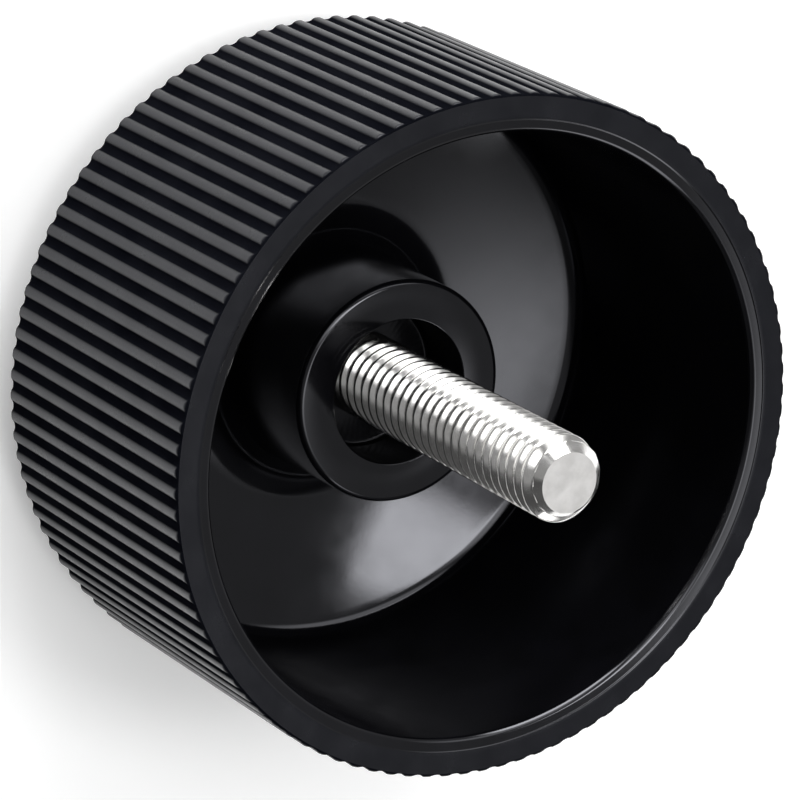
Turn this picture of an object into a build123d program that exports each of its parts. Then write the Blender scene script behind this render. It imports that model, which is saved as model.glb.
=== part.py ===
from build123d import *
import math
import os

os.makedirs("parts", exist_ok=True)

# Threaded hand knob in millimetres. It stands on the flat middle of its closed end,
# and the mouth and the stud point up along +Z. The origin is the middle of that flat.

# Ribbed side and closed end
knob_radius = 24.0
side_height = 24.0
bevel_height = 3.0
bevel_inner_radius = 14.0
bevel_inset = 0.15

# Ribs with flat crests and slanting flanks, which slope away at the rim to a plain circle
rib_count = 100
rib_depth = 0.22
groove_mouth_width = 1.0
groove_floor_width = 0.5
rib_end_slope = 0.3
rim_inset = 0.05

# Hollow inside, open at the mouth
wall_thickness = 2.75
wall_draft_deg = 1.0
floor_edge_rise = 2.2
dish_radius = 66.0
floor_corner_radius = 1.2
lip_width = 0.95
lip_drop = 0.2
corner_step_deg = 30.0

# Boss that carries the stud, with a round recess about the thread
boss_radius = 8.0
boss_rise = 12.0
boss_edge_radius = 0.45
boss_root_radius = 3.0
recess_radius = 5.2
recess_depth = 5.0

# Steel stud, moulded in by its hexagon head
stud_radius = 3.0
stud_length = 30.0
tip_flat_radius = 2.1
neck_radius = 2.7
head_across_flats = 10.0
head_height = 4.0
head_cover = 3.0

# Radii and heights that follow from the sizes above
wall_radius_at_mouth = knob_radius - wall_thickness
rib_root_radius = knob_radius - rib_depth
bevel_outer_radius = rib_root_radius - bevel_inset
rim_radius = rib_root_radius - rim_inset
mouth_height = bevel_height + side_height
lip_height = mouth_height - lip_drop
floor_edge_height = bevel_height + floor_edge_rise
boss_face_height = bevel_height + boss_rise
recess_floor_height = boss_face_height - recess_depth
head_base_height = head_cover
tip_height = head_base_height + head_height + stud_length

# Tools that cut away material run this far past the surface they cut
overrun = 2.0


def wall_radius_at(height):
    """Radius of the inner wall, which narrows slightly towards the floor."""
    drop = mouth_height - height
    return wall_radius_at_mouth - drop * math.tan(math.radians(wall_draft_deg))


def dish_height_at(radius):
    """Height of the dished floor at a distance from the axis."""
    floor_edge_radius = wall_radius_at(floor_edge_height)
    centre_height = floor_edge_height + math.sqrt(dish_radius**2 - floor_edge_radius**2)
    return centre_height - math.sqrt(dish_radius**2 - radius**2)


def polar_point(radius, angle):
    return (radius * math.cos(angle), radius * math.sin(angle))


def rib_outline():
    """Closed outline of the ribbed side, seen along the axis."""
    pitch_angle = 2 * math.pi / rib_count
    crest_half = pitch_angle / 2 - groove_mouth_width / 2 / knob_radius
    root_half = pitch_angle / 2 - groove_floor_width / 2 / rib_root_radius
    half_tooth = [(knob_radius, crest_half), (rib_root_radius, root_half)]
    corners = []
    for rib in range(rib_count):
        middle = rib * pitch_angle
        for radius, offset in reversed(half_tooth):
            corners.append(polar_point(radius, middle - offset))
        for radius, offset in half_tooth:
            corners.append(polar_point(radius, middle + offset))
    return make_face(Polyline(*corners, close=True))


def trim_outline():
    """Half section that trims the ribbed blank: flat middle, shallow bevel and sloped rib ends."""
    slope_steepness = rib_end_slope / (knob_radius - rim_radius)
    slope_foot_height = mouth_height - slope_steepness * (knob_radius + overrun - rim_radius)
    outline = Polyline(
        (0, 0),
        (bevel_inner_radius, 0),
        (bevel_outer_radius, bevel_height),
        (knob_radius + overrun, bevel_height),
        (knob_radius + overrun, slope_foot_height),
        (rim_radius, mouth_height),
        (0, mouth_height),
        close=True,
    )
    return make_face(outline)


def hollow_outline():
    """Half section of the air inside the knob, from the boss recess out past the mouth."""
    floor_edge_radius = wall_radius_at(floor_edge_height)
    boss_foot = (boss_radius, dish_height_at(boss_radius))
    floor_edge = (floor_edge_radius, floor_edge_height)
    middle_radius = (boss_radius + floor_edge_radius) / 2
    floor_middle = (middle_radius, dish_height_at(middle_radius))
    lip_foot = (wall_radius_at(lip_height), lip_height)
    lip_top = (wall_radius_at_mouth + lip_width, mouth_height)
    outline = [
        Polyline(
            (0, recess_floor_height),
            (recess_radius, recess_floor_height),
            (recess_radius, boss_face_height),
            (boss_radius, boss_face_height),
            boss_foot,
        ),
        ThreePointArc(boss_foot, floor_middle, floor_edge),
        Polyline(
            floor_edge,
            lip_foot,
            lip_top,
            (lip_top[0], mouth_height + overrun),
            (0, mouth_height + overrun),
            (0, recess_floor_height),
        ),
    ]
    section = Sketch() + make_face(outline)
    section = round_corner(section, (boss_radius, boss_face_height), boss_edge_radius)
    section = round_corner(section, boss_foot, boss_root_radius)
    section = round_corner(section, floor_edge, floor_corner_radius)
    return straighten_small_arcs(section)


def round_corner(section, corner, radius):
    """Round the one corner of a half section that lies at the given point."""
    nearest = min(section.vertices(), key=lambda v: math.dist((v.X, v.Y), corner))
    return fillet(nearest, radius)


def straighten_small_arcs(section):
    """Redraw each small corner arc as a few straight steps, so that it costs few faces."""
    outline = []
    for edge in section.wire().order_edges():
        steps = 1
        if edge.geom_type == GeomType.CIRCLE and edge.radius <= boss_root_radius:
            steps = math.ceil(edge.length / edge.radius / math.radians(corner_step_deg))
        if edge.geom_type == GeomType.LINE or steps > 1:
            outline.append(Polyline(*[edge @ (i / steps) for i in range(steps + 1)]))
        else:
            outline.append(edge)
    return make_face(outline)


def turned(section):
    """Stand a half section up on the axis and spin it into a full solid."""
    return revolve(Plane.XZ * section, Axis.Z, 360)


def threaded_stud():
    """Shank at the thread's outer size, chamfered tip, and in the plastic a neck and hexagon head."""
    head_face = RegularPolygon(head_across_flats / 2, 6, major_radius=False)
    head = Pos(0, 0, head_base_height) * extrude(head_face, head_height)
    tip_chamfer = stud_radius - tip_flat_radius
    shank_outline = Polyline(
        (0, head_base_height),
        (neck_radius, head_base_height),
        (neck_radius, recess_floor_height),
        (stud_radius, recess_floor_height),
        (stud_radius, tip_height - tip_chamfer),
        (tip_flat_radius, tip_height),
        (0, tip_height),
        (0, head_base_height),
    )
    return head + turned(make_face(shank_outline))


def knob_body(stud):
    """One moulding: ribbed cup, closed end and boss, shut tightly about the stud."""
    blank = extrude(rib_outline(), mouth_height + overrun)
    blank = blank & turned(trim_outline())
    return blank - turned(hollow_outline()) - stud


stud = threaded_stud()
body = knob_body(stud)

export_step(stud, "parts/threaded_stud.step")
export_step(body, "parts/knob_body.step")
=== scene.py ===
import math
import bmesh
import bpy
from mathutils import Matrix, Vector


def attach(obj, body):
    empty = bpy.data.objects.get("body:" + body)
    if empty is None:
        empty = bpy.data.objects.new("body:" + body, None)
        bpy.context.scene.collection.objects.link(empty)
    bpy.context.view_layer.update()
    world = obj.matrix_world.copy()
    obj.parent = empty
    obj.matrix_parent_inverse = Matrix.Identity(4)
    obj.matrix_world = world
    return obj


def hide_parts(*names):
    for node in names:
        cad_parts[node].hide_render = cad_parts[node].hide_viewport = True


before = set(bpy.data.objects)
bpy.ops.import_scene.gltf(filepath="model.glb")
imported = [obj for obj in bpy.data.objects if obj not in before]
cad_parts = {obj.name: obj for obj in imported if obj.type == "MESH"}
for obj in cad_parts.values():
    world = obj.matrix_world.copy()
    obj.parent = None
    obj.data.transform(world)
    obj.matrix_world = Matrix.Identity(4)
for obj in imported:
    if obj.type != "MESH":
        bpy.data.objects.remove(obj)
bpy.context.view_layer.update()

MM = 0.001
TURN = 2 * math.pi

# Sizes in millimetres, as in the CAD model
KNOB_RADIUS = 24.0
SIDE_HEIGHT = 24.0
BEVEL_HEIGHT = 3.0
BEVEL_INNER_RADIUS = 14.0
BEVEL_INSET = 0.15
RIB_COUNT = 100
RIB_DEPTH = 0.22
RIB_END_SLOPE = 0.3
RIM_INSET = 0.05
WALL_THICKNESS = 2.75
WALL_DRAFT = math.radians(1.0)
FLOOR_EDGE_RISE = 2.2
FLOOR_CORNER_RADIUS = 1.2
DISH_RADIUS = 66.0
LIP_WIDTH = 0.95
BOSS_RADIUS = 8.0
BOSS_RISE = 12.0
BOSS_EDGE_RADIUS = 0.45
BOSS_ROOT_RADIUS = 3.0
RECESS_RADIUS = 5.2
RECESS_DEPTH = 5.0
STUD_RADIUS = 3.0
STUD_LENGTH = 30.0
TIP_FLAT_RADIUS = 2.1
NECK_RADIUS = 2.7
HEAD_ACROSS_FLATS = 10.0
HEAD_HEIGHT = 4.0
HEAD_BASE_HEIGHT = 3.0

# Radii and heights that follow from the sizes above
MOUTH_HEIGHT = BEVEL_HEIGHT + SIDE_HEIGHT
BEVEL_OUTER_RADIUS = KNOB_RADIUS - RIB_DEPTH - BEVEL_INSET
RIM_RADIUS = KNOB_RADIUS - RIB_DEPTH - RIM_INSET
WALL_RADIUS_AT_MOUTH = KNOB_RADIUS - WALL_THICKNESS
LIP_TOP_RADIUS = WALL_RADIUS_AT_MOUTH + LIP_WIDTH
FLOOR_EDGE_HEIGHT = BEVEL_HEIGHT + FLOOR_EDGE_RISE
BOSS_FACE_HEIGHT = BEVEL_HEIGHT + BOSS_RISE
RECESS_FLOOR_HEIGHT = BOSS_FACE_HEIGHT - RECESS_DEPTH
HEAD_TOP_HEIGHT = HEAD_BASE_HEIGHT + HEAD_HEIGHT
TIP_HEIGHT = HEAD_TOP_HEIGHT + STUD_LENGTH

# Finer forms that only the visual model has: the lip's soft step, its slope and rounded inner edge,
# the small roundings, and how far the bevel of the closed end blends into its flat
CREST_INSET = 0.005
RIM_FLAT_INSET = 0.04
LIP_STEP = 0.06
LIP_DROP = 0.14
LIP_EDGE_ROUND = 0.45
RECESS_EDGE_ROUND = 0.1
RECESS_FOOT_ROUND = 0.25
SIDE_FOOT_ROUND = 0.08
BEVEL_BLEND_OUT = 0.9
BEVEL_BLEND_IN = 0.8
BEVEL_BLEND_RISE = 0.06
NECK_TOP_GAP = 0.02

# Half of one rib in cross-section, from the middle of the groove to the middle of the crest:
# distance from the crest's middle along the side, and depth below the crest
HALF_RIB = [
    (0.754, 0.220), (0.640, 0.216), (0.550, 0.200), (0.470, 0.168), (0.400, 0.126),
    (0.330, 0.082), (0.260, 0.045), (0.180, 0.018), (0.090, 0.004), (0.000, 0.000),
]

# Metric thread: flanks at 30 degrees, a crest flat for an eighth of the pitch and the standard depth,
# with corners softened over a share of the pitch to each side
THREAD_PITCH = 1.0
THREAD_DEPTH = 0.6134 * THREAD_PITCH
THREAD_CREST_HALF = THREAD_PITCH / 16
THREAD_FLANK = math.radians(30.0)
THREAD_SOFTENING = 0.05

# Columns round the meshes. The coarser columns inside the knob meet the outline of each rib at these
# places in its list of points.
COLUMNS_PER_RIB = (0, 8, 10)
INNER_COLUMNS = RIB_COUNT * len(COLUMNS_PER_RIB)
POCKET_COLUMNS = 60
STUD_COLUMNS = 96

# Steps round each small arc, and rows to each turn of the thread
RIB_END_STEPS = 7
SIDE_FOOT_STEPS = 4
LIP_STEP_STEPS = 5
LIP_EDGE_STEPS = 10
FLOOR_CORNER_STEPS = 9
DISH_STEPS = 22
BOSS_ROOT_STEPS = 12
BOSS_EDGE_STEPS = 6
RECESS_EDGE_STEPS = 3
RECESS_FOOT_STEPS = 4
THREAD_ROWS_PER_PITCH = 22

# Extra rows on the long plain stretches
RIM_JOIN_RADIUS = 22.75
RIM_ROW_RADIUS = 22.45
BOSS_FACE_ROW_RADIUS = 6.6
SIDE_ROW_HEIGHT = 15.0
WALL_ROW_HEIGHTS = (24.0, 20.0, 16.0, 12.0, 8.5)
BOSS_ROW_HEIGHTS = (8.0, 12.0)
BEVEL_ROW_INSET = 0.2

# Passes that settle where the rounding between wall and floor has its centre
CORNER_PASSES = 30

# Tolerances in millimetres for telling which surface a face belongs to
SAME_PLANE = 0.01
CLOSED_END_BAND = 0.2
BOSS_SIDE_BAND = 0.1

# Corners sharper than these angles stay crisp
BODY_CRISP_DEG = 38.0
STUD_CRISP_DEG = 80.0

# Colours, each as a dark and a light tone of the same surface
SATIN_BLACK = ((0.003, 0.0033, 0.005), (0.005, 0.0054, 0.0075))
GLOSS_BLACK = ((0.002, 0.002, 0.0025), (0.003, 0.003, 0.004))
PLATED_STEEL = ((0.78, 0.77, 0.75), (0.92, 0.91, 0.90))
CUT_STEEL = ((0.64, 0.63, 0.62), (0.74, 0.73, 0.72))
COOL_SHEEN = (0.92, 0.93, 1.0, 1.0)
WHITE = (1.0, 1.0, 1.0, 1.0)

# Sheen on the crests of the ribs, and the depth below them at which it has faded out; the fade darkens
# the grooves as painted shade
CREST_SHEEN = 0.43
GROOVE_SHADE_DEPTH = 0.14

# Noise: features per metre of each texture, its roughness, and the middle range that most of it fills
PLASTIC_TONE_SCALE = 260.0
PLASTIC_GLOSS_SCALE = 420.0
PLASTIC_WAVE_SCALE = 130.0
STEEL_TONE_SCALE = 900.0
STEEL_GLOSS_SCALE = 1500.0
STEEL_MARK_SCALE = 5000.0
STEEL_MARK_DEPTH = 0.002 * MM
NOISE_ROUGHNESS = 0.55
NOISE_MIDDLE = (0.35, 0.65)

# Floor in metres, set just under the knob, with its dull pale surface and the glow that lifts it to
# white
FLOOR_REACH = 3.0
FLOOR_DROP = 0.00002
FLOOR_TONE = (0.9, 0.9, 0.9, 1.0)
FLOOR_ROUGHNESS = 0.9
FLOOR_SHEEN = 0.1
FLOOR_GLOW = 0.25

# Brightness of the studio seen low down and overhead, the heights between which the one gives way to
# the other, and the directions to the right in which both fade to a share of their light
WALL_LEVEL = 0.35
CEILING_LEVEL = 0.28
CEILING_EDGE = (0.42, 0.62)
DIM_SIDE_EDGE = (0.35, 0.55)
DIM_SIDE_SHARE = 0.25

# Soft boxes of the studio. Each edge is a soft one between two values of the direction in which it is
# seen: left and right across the knob, near and far along it, foot and top in height.
SOFT_BOXES = {
    "strong_overhead": {
        "level": 8.5, "left": (-0.38, -0.30), "right": (-0.17, -0.11),
        "near": (-0.32, -0.12), "far": (0.25, 0.30), "foot": (0.2, 0.4),
    },
    "weak_overhead": {
        "level": 3.3, "left": (-0.12, -0.02), "right": (0.12, 0.50),
        "near": (-0.10, 0.18), "far": (0.10, 0.60), "foot": (0.2, 0.4),
    },
    "front": {
        "level": 2.2, "left": (-0.50, -0.35), "right": (-0.15, 0.05),
        "near": (-0.75, -0.60), "far": (-0.30, -0.15), "foot": (0.2, 0.4),
    },
    "behind": {
        "level": 3.0, "left": (0.38, 0.50), "right": (0.80, 0.90),
        "near": (0.42, 0.52), "far": (0.85, 0.95), "foot": (0.2, 0.4),
    },
    "side": {
        "level": 1.5, "right": (-0.64, -0.54),
        "near": (-0.62, -0.50), "far": (0.20, 0.40), "foot": (0.44, 0.56),
    },
    "low_side": {
        "level": 9.0, "right": (-0.64, -0.54),
        "near": (-0.76, -0.64), "far": (-0.15, 0.00), "top": (0.44, 0.56),
    },
}

# Axis of each edge, and the light before and after it
EDGES = {
    "left": ("X", 0.0, 1.0),
    "right": ("X", 1.0, 0.0),
    "near": ("Y", 0.0, 1.0),
    "far": ("Y", 1.0, 0.0),
    "foot": ("Z", 0.0, 1.0),
    "top": ("Z", 1.0, 0.0),
}

# Camera, fitted to the photograph: sensor and lens in millimetres, all other lengths in metres
SENSOR_WIDTH = 36.0
FOCAL_LENGTH = 234.0
CLIP_NEAR = 0.01
CLIP_FAR = 20.0
CAMERA_AZIMUTH = math.radians(-90.0)
CAMERA_ELEVATION = math.radians(54.83)
CAMERA_ROLL = math.radians(118.27)
CAMERA_TARGET = Vector((0.00047, -0.0081, 0.027))
CAMERA_DISTANCE = 0.3449


def rib_outline():
    """Angle and radius of every point round the ribbed side, beginning in a groove."""
    pitch_angle = TURN / RIB_COUNT
    left = [(-along, depth) for along, depth in HALF_RIB]
    right = [(along, depth) for along, depth in reversed(HALF_RIB[1:-1])]
    points = []
    for rib in range(RIB_COUNT):
        for along, depth in left + right:
            angle = rib * pitch_angle + along / KNOB_RADIUS
            points.append((angle, KNOB_RADIUS - CREST_INSET - depth))
    return points


def bevel_height_at(radius):
    return BEVEL_HEIGHT * (radius - BEVEL_INNER_RADIUS) / (BEVEL_OUTER_RADIUS - BEVEL_INNER_RADIUS)


def wall_radius_at(height):
    return WALL_RADIUS_AT_MOUTH - (MOUTH_HEIGHT - height) * math.tan(WALL_DRAFT)


def arc(centre, radius, start_deg, end_deg, steps):
    """Points of an arc in a half section, as radius and height."""
    found = []
    for i in range(steps + 1):
        angle = math.radians(start_deg + (end_deg - start_deg) * i / steps)
        found.append((centre[0] + radius * math.cos(angle), centre[1] + radius * math.sin(angle)))
    return found


def dish_centre_height():
    edge_radius = wall_radius_at(FLOOR_EDGE_HEIGHT)
    return FLOOR_EDGE_HEIGHT + math.sqrt(DISH_RADIUS**2 - edge_radius**2)


def dish_section():
    """The floor from the wall's foot to the foot of the boss, with both roundings."""
    top = dish_centre_height()
    reach = DISH_RADIUS - FLOOR_CORNER_RADIUS
    height = FLOOR_EDGE_HEIGHT + FLOOR_CORNER_RADIUS
    for _ in range(CORNER_PASSES):
        corner_x = wall_radius_at(height) - FLOOR_CORNER_RADIUS / math.cos(WALL_DRAFT)
        height = top - math.sqrt(reach**2 - corner_x**2)
    corner_start = -math.degrees(WALL_DRAFT)
    corner_end = math.degrees(math.atan2(height - top, corner_x))
    corner = arc((corner_x, height), FLOOR_CORNER_RADIUS, corner_start, corner_end, FLOOR_CORNER_STEPS)
    root_x = BOSS_RADIUS + BOSS_ROOT_RADIUS
    root_height = top - math.sqrt((DISH_RADIUS - BOSS_ROOT_RADIUS) ** 2 - root_x**2)
    root_start = math.degrees(math.atan2(root_height - top, root_x))
    floor = arc((0, top), DISH_RADIUS, corner_end, root_start, DISH_STEPS)
    root = arc((root_x, root_height), BOSS_ROOT_RADIUS, root_start, -180, BOSS_ROOT_STEPS)
    return corner + floor[1:-1] + root


def mouth_section():
    """The narrow lip inside the flat rim: a soft step, a slight slope and a rounded inner edge."""
    step_width = 2 * LIP_STEP
    step = []
    for i in range(LIP_STEP_STEPS + 1):
        share = i / LIP_STEP_STEPS
        drop = LIP_STEP * share * share * (3 - 2 * share)
        step.append((LIP_TOP_RADIUS - step_width * share, MOUTH_HEIGHT - drop))
    steepness = (LIP_DROP - LIP_STEP) / (LIP_WIDTH - step_width)
    slope_deg = math.degrees(math.atan(steepness))
    centre_x = WALL_RADIUS_AT_MOUTH + LIP_EDGE_ROUND
    lip_height = MOUTH_HEIGHT - LIP_STEP - steepness * (LIP_TOP_RADIUS - step_width - centre_x)
    centre = (centre_x, lip_height - LIP_EDGE_ROUND / math.cos(math.radians(slope_deg)))
    edge_end = 180 - math.degrees(WALL_DRAFT)
    return step + arc(centre, LIP_EDGE_ROUND, 90 + slope_deg, edge_end, LIP_EDGE_STEPS)


def boss_section():
    """The boss from its rounded edge over its flat face, and down the recess to its floor."""
    edge_centre = (BOSS_RADIUS - BOSS_EDGE_RADIUS, BOSS_FACE_HEIGHT - BOSS_EDGE_RADIUS)
    edge = arc(edge_centre, BOSS_EDGE_RADIUS, 0, 90, BOSS_EDGE_STEPS)
    face = [(BOSS_FACE_ROW_RADIUS, BOSS_FACE_HEIGHT)]
    rim_centre = (RECESS_RADIUS + RECESS_EDGE_ROUND, BOSS_FACE_HEIGHT - RECESS_EDGE_ROUND)
    rim = arc(rim_centre, RECESS_EDGE_ROUND, 90, 180, RECESS_EDGE_STEPS)
    foot_centre = (RECESS_RADIUS - RECESS_FOOT_ROUND, RECESS_FLOOR_HEIGHT + RECESS_FOOT_ROUND)
    foot = arc(foot_centre, RECESS_FOOT_ROUND, 0, -90, RECESS_FOOT_STEPS)
    return edge + face + rim + foot


def inner_section():
    """Half section from the flat rim down the wall, over the floor and boss to the recess floor."""
    rim = [(RIM_ROW_RADIUS, MOUTH_HEIGHT)]
    wall = [(wall_radius_at(height), height) for height in WALL_ROW_HEIGHTS]
    boss_side = [(BOSS_RADIUS, height) for height in BOSS_ROW_HEIGHTS]
    return rim + mouth_section() + wall + dish_section() + boss_side + boss_section()


def outer_section():
    """Height and largest radius of the rows down the ribbed side, with rounded rib ends."""
    rows = [(MOUTH_HEIGHT, RIM_RADIUS - RIM_FLAT_INSET)]
    for i in range(RIB_END_STEPS + 1):
        angle = math.pi / 2 * i / RIB_END_STEPS
        radius = RIM_RADIUS + (KNOB_RADIUS - RIM_RADIUS) * math.sin(angle)
        rows.append((MOUTH_HEIGHT - RIB_END_SLOPE * (1 - math.cos(angle)), radius))
    rows.append((SIDE_ROW_HEIGHT, KNOB_RADIUS))
    for i in range(SIDE_FOOT_STEPS + 1):
        angle = math.pi / 2 * i / SIDE_FOOT_STEPS
        height = BEVEL_HEIGHT + SIDE_FOOT_ROUND * (1 - math.sin(angle))
        rows.append((height, KNOB_RADIUS - SIDE_FOOT_ROUND * (1 - math.cos(angle))))
    return rows


def closed_end_section():
    """Radius and height of the rows over the bevel and its soft blend into the flat."""
    bevel_radii = (BEVEL_OUTER_RADIUS - BEVEL_ROW_INSET, BEVEL_INNER_RADIUS + BEVEL_BLEND_OUT)
    bevel = [(radius, bevel_height_at(radius)) for radius in bevel_radii]
    blend = [(BEVEL_INNER_RADIUS, BEVEL_BLEND_RISE), (BEVEL_INNER_RADIUS - BEVEL_BLEND_IN, 0.0)]
    return bevel + blend


class Rings:
    """Builds a closed mesh from rings of points about the Z axis."""

    def __init__(self):
        self.points = []
        self.faces = []

    def ring(self, radii, heights, angles):
        first = len(self.points)
        for radius, height, angle in zip(radii, heights, angles):
            self.points.append((radius * math.cos(angle), radius * math.sin(angle), height))
        return list(range(first, len(self.points)))

    def round_ring(self, radius, height, count, start=0.0):
        angles = [start + TURN * i / count for i in range(count)]
        return self.ring([radius] * count, [height] * count, angles)

    def hexagon_ring(self, height, count):
        angles = [TURN * i / count for i in range(count)]
        sixth = TURN / 6
        radii = [HEAD_ACROSS_FLATS / 2 / math.cos(angle % sixth - sixth / 2) for angle in angles]
        return self.ring(radii, [height] * count, angles)

    def join(self, a, b):
        count = len(a)
        for i in range(count):
            j = (i + 1) % count
            self.faces.append((a[i], a[j], b[j], b[i]))

    def join_section(self, previous, section, start):
        """Round rings through a half section, joined on to the ring before them."""
        for radius, height in section:
            ring = self.round_ring(radius, height, len(previous), start)
            self.join(previous, ring)
            previous = ring
        return previous

    def join_finer(self, fine, starts, coarse):
        """Flat faces between a fine ring and a coarser one whose columns begin at starts."""
        count = len(coarse)
        for i in range(count):
            j = (i + 1) % count
            end = starts[j] if j else len(fine)
            chain = [fine[k % len(fine)] for k in range(starts[i], end + 1)]
            self.faces.append(tuple(chain) + (coarse[j], coarse[i]))

    def cap(self, ring, height):
        centre = len(self.points)
        self.points.append((0.0, 0.0, height))
        for i in range(len(ring)):
            self.faces.append((ring[i], ring[(i + 1) % len(ring)], centre))

    def make(self, name):
        mesh = bpy.data.meshes.new(name)
        mesh.from_pydata([(x * MM, y * MM, z * MM) for x, y, z in self.points], [], self.faces)
        work = bmesh.new()
        work.from_mesh(mesh)
        bmesh.ops.recalc_face_normals(work, faces=work.faces)
        work.to_mesh(mesh)
        work.free()
        piece = bpy.data.objects.new(name, mesh)
        bpy.context.scene.collection.objects.link(piece)
        return piece


def shade(piece, crisp_deg):
    """Smooth shading with crisp corners, and large flats kept flat beside small roundings."""
    mesh = piece.data
    mesh.polygons.foreach_set("use_smooth", [True] * len(mesh.polygons))
    mesh.set_sharp_from_angle(angle=math.radians(crisp_deg))
    weighted = piece.modifiers.new("even_normals", "WEIGHTED_NORMAL")
    weighted.keep_sharp = True


def add_ribbed_side(rings, outline):
    """Rows down the ribbed side, of which the first and the last are returned."""
    angles = [angle for angle, _ in outline]
    rows = []
    for height, limit in outer_section():
        radii = [min(radius, limit) for _, radius in outline]
        rows.append(rings.ring(radii, [height] * len(radii), angles))
    for upper, lower in zip(rows, rows[1:]):
        rings.join(upper, lower)
    return rows[0], rows[-1]


def add_hollow(rings, rim_row, starts, start_angle):
    """Flat rim, wall, floor and boss. The last row, round the recess floor, is returned."""
    first = rings.round_ring(RIM_JOIN_RADIUS, MOUTH_HEIGHT, INNER_COLUMNS, start_angle)
    rings.join_finer(rim_row, starts, first)
    return rings.join_section(first, inner_section(), start_angle)


def add_pocket(rings, recess_row, start_angle):
    """Recess floor, and the pocket in the plastic that holds the stud's neck and head."""
    hole = rings.round_ring(NECK_RADIUS, RECESS_FLOOR_HEIGHT, POCKET_COLUMNS, start_angle)
    step = INNER_COLUMNS // POCKET_COLUMNS
    rings.join_finer(recess_row, [i * step for i in range(POCKET_COLUMNS)], hole)
    neck_foot = rings.round_ring(NECK_RADIUS, HEAD_TOP_HEIGHT, POCKET_COLUMNS, start_angle)
    top = rings.hexagon_ring(HEAD_TOP_HEIGHT, POCKET_COLUMNS)
    base = rings.hexagon_ring(HEAD_BASE_HEIGHT, POCKET_COLUMNS)
    rings.join(hole, neck_foot)
    rings.join(neck_foot, top)
    rings.join(top, base)
    rings.cap(base, HEAD_BASE_HEIGHT)


def add_closed_end(rings, foot_row, starts, start_angle):
    """Shallow bevel and flat middle of the closed end."""
    first = rings.round_ring(BEVEL_OUTER_RADIUS, BEVEL_HEIGHT, INNER_COLUMNS, start_angle)
    rings.join_finer(foot_row, starts, first)
    last = rings.join_section(first, closed_end_section(), start_angle)
    rings.cap(last, 0.0)


def knob_body():
    """The whole moulding, with finer ribs and roundings than the CAD solid."""
    rings = Rings()
    outline = rib_outline()
    start_angle = outline[0][0]
    points_per_rib = len(outline) // RIB_COUNT
    starts = [rib * points_per_rib + place for rib in range(RIB_COUNT) for place in COLUMNS_PER_RIB]
    rim_row, foot_row = add_ribbed_side(rings, outline)
    recess_row = add_hollow(rings, rim_row, starts, start_angle)
    add_pocket(rings, recess_row, start_angle)
    add_closed_end(rings, foot_row, starts, start_angle)
    return rings.make("knob_body_fine")


def thread_radius(turn_share):
    """Radius of the thread by the share of a pitch past a crest, with softened corners."""
    total = 0.0
    samples = (-1.0, -0.5, 0.0, 0.5, 1.0)
    for sample in samples:
        share = (turn_share + sample * THREAD_SOFTENING) % 1.0
        from_crest = min(share, 1.0 - share) * THREAD_PITCH
        depth = (from_crest - THREAD_CREST_HALF) / math.tan(THREAD_FLANK)
        total += min(max(depth, 0.0), THREAD_DEPTH)
    return STUD_RADIUS - total / len(samples)


def add_thread(rings, previous):
    """Rows up a right-hand thread, which the tip's chamfer cuts off. The last row is returned."""
    angles = [TURN * i / STUD_COLUMNS for i in range(STUD_COLUMNS)]
    row_height = THREAD_PITCH / THREAD_ROWS_PER_PITCH
    rows = round((TIP_HEIGHT - RECESS_FLOOR_HEIGHT) / row_height)
    for row in range(1, rows + 1):
        height = RECESS_FLOOR_HEIGHT + row * row_height
        chamfer = TIP_FLAT_RADIUS + (TIP_HEIGHT - height)
        limit = min(STUD_RADIUS, chamfer)
        radii = []
        for angle in angles:
            share = (height / THREAD_PITCH - angle / TURN) % 1.0
            radii.append(min(thread_radius(share), limit))
        ring = rings.ring(radii, [height] * STUD_COLUMNS, angles)
        rings.join(previous, ring)
        previous = ring
    return previous


def threaded_stud():
    """Stud with a true helix, a chamfered tip, and the neck and head hidden in the plastic."""
    rings = Rings()
    head_base = rings.hexagon_ring(HEAD_BASE_HEIGHT, STUD_COLUMNS)
    head_top = rings.hexagon_ring(HEAD_TOP_HEIGHT, STUD_COLUMNS)
    rings.cap(head_base, HEAD_BASE_HEIGHT)
    rings.join(head_base, head_top)
    neck = [(NECK_RADIUS, HEAD_TOP_HEIGHT), (NECK_RADIUS, RECESS_FLOOR_HEIGHT - NECK_TOP_GAP)]
    neck_top = rings.join_section(head_top, neck, 0.0)
    tip = add_thread(rings, neck_top)
    rings.cap(tip, TIP_HEIGHT)
    return rings.make("threaded_stud_fine")


def sharpen_tip(stud):
    """Crisp edge round the flat tip, whatever the smoothing of the thread."""
    mesh = stud.data
    for edge in mesh.edges:
        heights = [mesh.vertices[v].co.z / MM for v in edge.vertices]
        radii = [math.hypot(*mesh.vertices[v].co.xy) / MM for v in edge.vertices]
        if min(heights) > TIP_HEIGHT - SAME_PLANE and min(radii) > TIP_FLAT_RADIUS / 2:
            edge.use_edge_sharp = True


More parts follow.
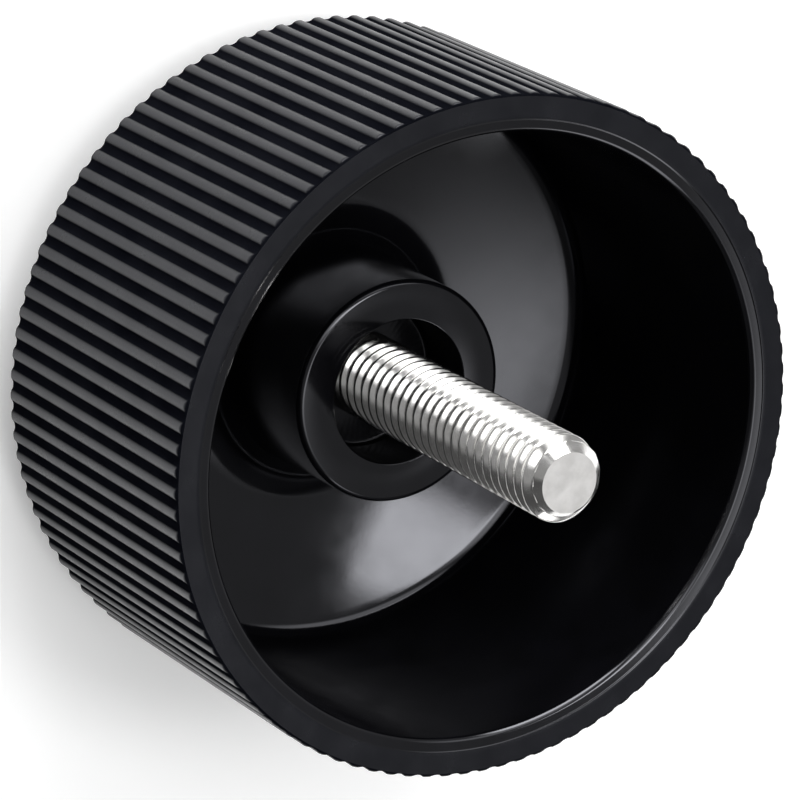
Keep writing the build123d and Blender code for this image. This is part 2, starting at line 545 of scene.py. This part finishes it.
class Tree:
    """Makes and joins the nodes of one material, or of the world."""

    def __init__(self, owner):
        owner.use_nodes = True
        self.nodes = owner.node_tree.nodes
        self.links = owner.node_tree.links

    def feed(self, node, inputs):
        """Set a node's inputs to plain values, or link them to the outputs of other nodes."""
        for name, value in inputs.items():
            if isinstance(value, bpy.types.NodeSocket):
                self.links.new(value, node.inputs[name])
            else:
                node.inputs[name].default_value = value

    def noise(self, scale, detail=4.0):
        """Noise in the object's own coordinates."""
        place = self.nodes.new("ShaderNodeTexCoord")
        found = self.nodes.new("ShaderNodeTexNoise")
        self.feed(found, {"Vector": place.outputs["Object"], "Roughness": NOISE_ROUGHNESS})
        self.feed(found, {"Scale": scale, "Detail": detail})
        return found.outputs["Fac"]

    def spread(self, source, low, high):
        """Maps the middle of a noise to the range from low to high."""
        found = self.nodes.new("ShaderNodeMapRange")
        start, end = NOISE_MIDDLE
        self.feed(found, {"From Min": start, "From Max": end, "To Min": low, "To Max": high})
        self.feed(found, {"Value": source})
        return found.outputs["Result"]

    def fade(self, source, start, end, low, high):
        """Soft change from low to high while the source goes from start to end."""
        found = self.nodes.new("ShaderNodeMapRange")
        found.interpolation_type = "SMOOTHSTEP"
        self.feed(found, {"From Min": start, "From Max": end, "To Min": low, "To Max": high})
        self.feed(found, {"Value": source})
        return found.outputs["Result"]

    def maths(self, operation, first, second):
        found = self.nodes.new("ShaderNodeMath")
        found.operation = operation
        self.feed(found, {0: first, 1: second})
        return found.outputs["Value"]

    def tint(self, share, low, high):
        """Colour between two tones."""
        found = self.nodes.new("ShaderNodeMix")
        found.data_type = "RGBA"
        self.feed(found, {"Factor": share, "A": (*low, 1.0), "B": (*high, 1.0)})
        return found.outputs["Result"]

    def bump(self, source, distance):
        found = self.nodes.new("ShaderNodeBump")
        self.feed(found, {"Height": source, "Distance": distance, "Strength": 1.0})
        return found

    def distance_to_axis(self):
        """Distance in metres from the object's own Z axis."""
        place = self.nodes.new("ShaderNodeTexCoord")
        flat = self.nodes.new("ShaderNodeVectorMath")
        flat.operation = "MULTIPLY"
        self.feed(flat, {0: place.outputs["Object"], 1: (1.0, 1.0, 0.0)})
        length = self.nodes.new("ShaderNodeVectorMath")
        length.operation = "LENGTH"
        self.feed(length, {0: flat.outputs["Vector"]})
        return length.outputs["Value"]


def plastic(name, tones, roughness, grain_scale, grain_depth, wave_depth, sheen):
    """Black moulded plastic: slight tone and gloss changes, fine grain and slow sink waves."""
    made = bpy.data.materials.new(name)
    tree = Tree(made)
    tone = tree.spread(tree.noise(PLASTIC_TONE_SCALE), 0.0, 1.0)
    wave = tree.bump(tree.noise(PLASTIC_WAVE_SCALE, detail=1.0), wave_depth)
    grain = tree.bump(tree.noise(grain_scale, detail=2.0), grain_depth)
    tree.feed(grain, {"Normal": wave.outputs["Normal"]})
    tree.feed(tree.nodes["Principled BSDF"], {
        "Base Color": tree.tint(tone, *tones),
        "Roughness": tree.spread(tree.noise(PLASTIC_GLOSS_SCALE, detail=6.0), *roughness),
        "Normal": grain.outputs["Normal"],
        "Specular IOR Level": sheen,
        "Specular Tint": COOL_SHEEN,
    })
    return made


def ribbed_plastic(name):
    """Plastic of the ribs, its sheen fading out down the grooves as painted shade."""
    made = plastic(
        name, SATIN_BLACK, roughness=(0.26, 0.36), sheen=CREST_SHEEN,
        grain_scale=4500.0, grain_depth=0.004 * MM, wave_depth=0.01 * MM,
    )
    tree = Tree(made)
    # Painted shade: the sheen fades from the crests to nothing down in the grooves, so they render
    # darker.
    groove_shade_radius = KNOB_RADIUS - GROOVE_SHADE_DEPTH
    sheen = tree.fade(tree.distance_to_axis(), groove_shade_radius * MM, KNOB_RADIUS * MM, 0.0, CREST_SHEEN)
    tree.feed(tree.nodes["Principled BSDF"], {"Specular IOR Level": sheen})
    return made


def steel(name, tones, roughness):
    """Bright steel with light rolling marks and faint dulling."""
    made = bpy.data.materials.new(name)
    tree = Tree(made)
    tone = tree.spread(tree.noise(STEEL_TONE_SCALE), 0.0, 1.0)
    marks = tree.bump(tree.noise(STEEL_MARK_SCALE, detail=3.0), STEEL_MARK_DEPTH)
    tree.feed(tree.nodes["Principled BSDF"], {
        "Metallic": 1.0,
        "Base Color": tree.tint(tone, *tones),
        "Roughness": tree.spread(tree.noise(STEEL_GLOSS_SCALE, detail=5.0), *roughness),
        "Normal": marks.outputs["Normal"],
    })
    return made


def white_stage(name):
    """Pale surface that keeps shadows. Its glow is for the camera and reflections only."""
    made = bpy.data.materials.new(name)
    tree = Tree(made)
    path = tree.nodes.new("ShaderNodeLightPath").outputs
    mirrored = tree.maths("MAXIMUM", path["Is Glossy Ray"], path["Is Transmission Ray"])
    seen = tree.maths("MAXIMUM", path["Is Camera Ray"], mirrored)
    tree.feed(tree.nodes["Principled BSDF"], {
        "Base Color": FLOOR_TONE,
        "Roughness": FLOOR_ROUGHNESS,
        "Specular IOR Level": FLOOR_SHEEN,
        "Emission Color": WHITE,
        "Emission Strength": tree.maths("MULTIPLY", seen, FLOOR_GLOW),
    })
    return made


def studio_floor():
    mesh = bpy.data.meshes.new("studio_floor")
    corners = [(-1, -1), (1, -1), (1, 1), (-1, 1)]
    mesh.from_pydata([(x * FLOOR_REACH, y * FLOOR_REACH, 0) for x, y in corners], [], [(0, 1, 2, 3)])
    floor = bpy.data.objects.new("studio_floor", mesh)
    bpy.context.scene.collection.objects.link(floor)
    floor.location.z = -FLOOR_DROP
    mesh.materials.append(white_stage("floor_white"))


def soft_box(tree, direction, box):
    """Brightness of one soft box by direction: its level, cut off softly at each of its edges."""
    found = box["level"]
    for edge, (axis, before, after) in EDGES.items():
        if edge in box:
            start, end = box[edge]
            inside = tree.fade(direction[axis], start, end, before, after)
            found = tree.maths("MULTIPLY", inside, found)
    return found


def studio_light():
    """Light of the room by direction: pale walls, a dimmer ceiling and right side, and soft boxes."""
    world = bpy.data.worlds.new("studio")
    bpy.context.scene.world = world
    tree = Tree(world)
    place = tree.nodes.new("ShaderNodeTexCoord")
    split = tree.nodes.new("ShaderNodeSeparateXYZ")
    tree.feed(split, {"Vector": place.outputs["Generated"]})
    direction = split.outputs
    room = tree.fade(direction["Z"], *CEILING_EDGE, WALL_LEVEL, CEILING_LEVEL)
    dimming = tree.fade(direction["X"], *DIM_SIDE_EDGE, 1.0, DIM_SIDE_SHARE)
    light = tree.maths("MULTIPLY", room, dimming)
    for box in SOFT_BOXES.values():
        light = tree.maths("ADD", light, soft_box(tree, direction, box))
    tree.feed(tree.nodes["Background"], {"Color": WHITE, "Strength": light})


def camera():
    """Pinhole view down into the mouth, rolled as the photograph is."""
    data = bpy.data.cameras.new("camera")
    data.sensor_width = SENSOR_WIDTH
    data.lens = FOCAL_LENGTH
    data.clip_start = CLIP_NEAR
    data.clip_end = CLIP_FAR
    made = bpy.data.objects.new("camera", data)
    bpy.context.scene.collection.objects.link(made)
    level = math.cos(CAMERA_ELEVATION)
    away = Vector((
        math.cos(CAMERA_AZIMUTH) * level,
        math.sin(CAMERA_AZIMUTH) * level,
        math.sin(CAMERA_ELEVATION),
    ))
    facing = (-away).to_track_quat("-Z", "Y").to_matrix()
    turn = facing @ Matrix.Rotation(CAMERA_ROLL, 3, "Z")
    made.matrix_world = Matrix.Translation(CAMERA_TARGET + away * CAMERA_DISTANCE) @ turn.to_4x4()
    bpy.context.scene.camera = made


def look_at(radius, height):
    """Name of the look that the moulding has at a distance from its axis and a height."""
    end_height = max(bevel_height_at(radius), 0.0)
    on_closed_end = height < BEVEL_HEIGHT - SAME_PLANE and height < end_height + CLOSED_END_BAND
    on_rim = LIP_TOP_RADIUS < radius < RIM_RADIUS and height > MOUTH_HEIGHT - SAME_PLANE
    if on_rim or on_closed_end:
        return "face"
    if radius > LIP_TOP_RADIUS:
        return "ribs"
    # The lip takes the dish's glossy plastic; its higher sheen than the rim's brightens the edge line
    # as a painted highlight.
    on_lip = height > MOUTH_HEIGHT - LIP_DROP - LIP_EDGE_ROUND
    on_boss_top = RECESS_RADIUS < radius < BOSS_RADIUS and height > BOSS_FACE_HEIGHT - BOSS_EDGE_RADIUS
    past_boss = radius > BOSS_RADIUS + BOSS_SIDE_BAND
    on_dish = past_boss and height < FLOOR_EDGE_HEIGHT + FLOOR_CORNER_RADIUS / 2
    return "dish" if on_lip or on_boss_top or on_dish else "wall"


def assign_looks(body, looks):
    """Ribs, satin rim and closed end, dish and boss top, the lip glossy like the dish as a painted
    highlight on its edge, and the upright walls, boss side and recess with a lower sheen as painted
    shade.
    """
    mesh = body.data
    for look in looks.values():
        mesh.materials.append(look)
    order = list(looks)
    for polygon in mesh.polygons:
        centre = polygon.center / MM
        look = look_at(math.hypot(centre.x, centre.y), centre.z)
        polygon.material_index = order.index(look)


def assign_steel(stud):
    """Plated steel, with a duller cut face on the flat tip."""
    mesh = stud.data
    mesh.materials.append(steel("plated_steel", PLATED_STEEL, roughness=(0.10, 0.20)))
    mesh.materials.append(steel("cut_steel", CUT_STEEL, roughness=(0.45, 0.60)))
    for polygon in mesh.polygons:
        if polygon.center.z / MM > TIP_HEIGHT - SAME_PLANE:
            polygon.material_index = 1


def plastic_looks():
    """Materials of the moulding by the name of the look."""
    return {
        "ribs": ribbed_plastic("plastic_ribs"),
        "face": plastic(
            "plastic_faces", SATIN_BLACK, roughness=(0.20, 0.28), sheen=0.38,
            grain_scale=4500.0, grain_depth=0.002 * MM, wave_depth=0.01 * MM,
        ),
        # Also used on the lip, where its higher sheen is a painted highlight.
        "dish": plastic(
            "plastic_dish", GLOSS_BLACK, roughness=(0.09, 0.14), sheen=0.58,
            grain_scale=3000.0, grain_depth=0.001 * MM, wave_depth=0.02 * MM,
        ),
        # Painted shade: the dish's plastic with a lower sheen, so the walls, boss side and recess
        # render darker.
        "wall": plastic(
            "plastic_walls", GLOSS_BLACK, roughness=(0.16, 0.24), sheen=0.25,
            grain_scale=3000.0, grain_depth=0.001 * MM, wave_depth=0.02 * MM,
        ),
    }


bpy.context.scene.view_settings.view_transform = "Standard"
camera()

body = knob_body()
shade(body, BODY_CRISP_DEG)
assign_looks(body, plastic_looks())
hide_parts("knob_body")
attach(body, "root")

stud = threaded_stud()
shade(stud, STUD_CRISP_DEG)
sharpen_tip(stud)
assign_steel(stud)
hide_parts("threaded_stud")
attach(stud, "root")

studio_floor()
studio_light()
